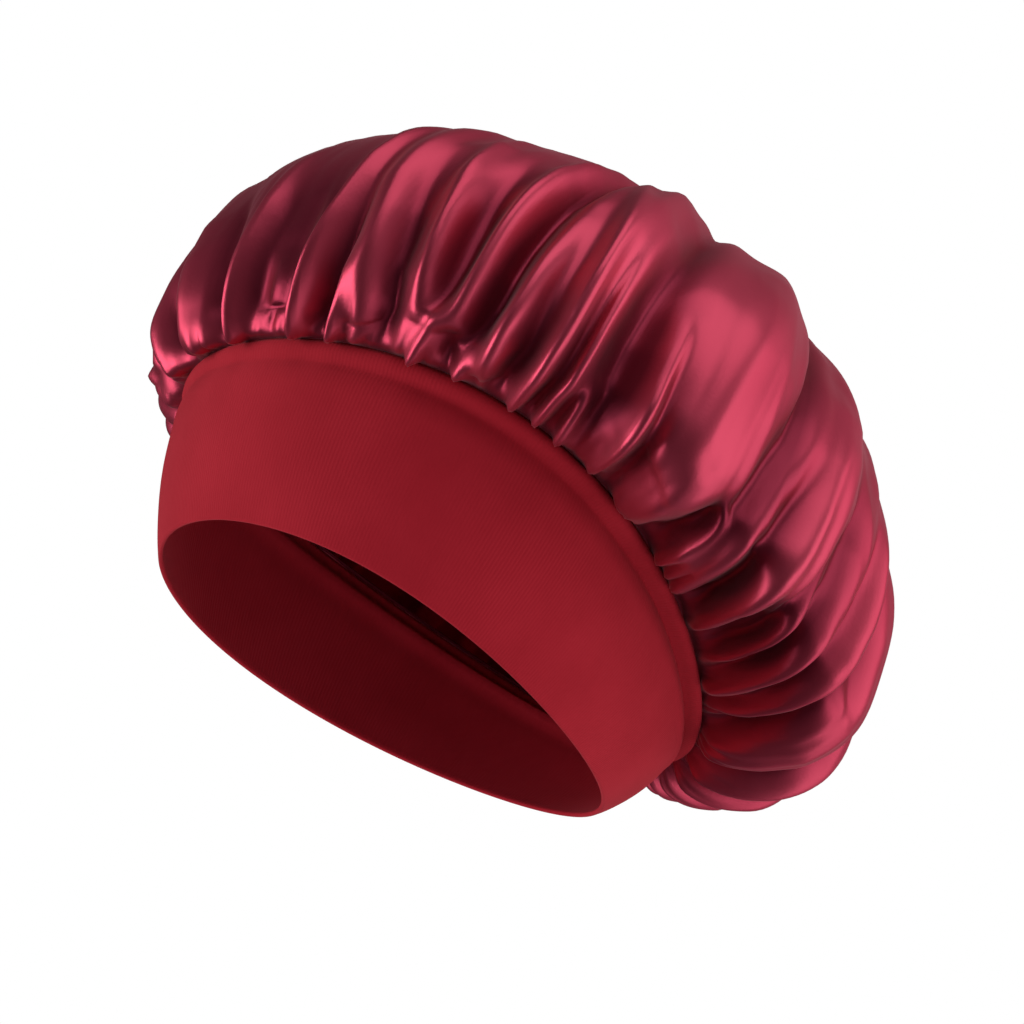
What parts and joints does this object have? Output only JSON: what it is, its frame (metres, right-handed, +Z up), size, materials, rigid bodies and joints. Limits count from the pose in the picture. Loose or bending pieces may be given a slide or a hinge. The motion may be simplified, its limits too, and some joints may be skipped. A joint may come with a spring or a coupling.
{
  "type": "sleep bonnet",
  "caption": "Puffy satin sleep bonnet gathered onto a wide doubled knit band, open below for the head.",
  "frame": {"origin": "middle of the head opening, in the plane of the folded rim", "axes": "+Z up through the crown, -Y the wearer's front, +X the wearer's left"},
  "size_m": [0.3064, 0.3106, 0.2075],
  "materials": {
    "satin": "glossy woven satin, gathered",
    "knit": "matte fine-ribbed stretch knit"
  },
  "bodies": {
    "root": {"crown": "satin", "band": "knit"}
  },
  "joints": []
}
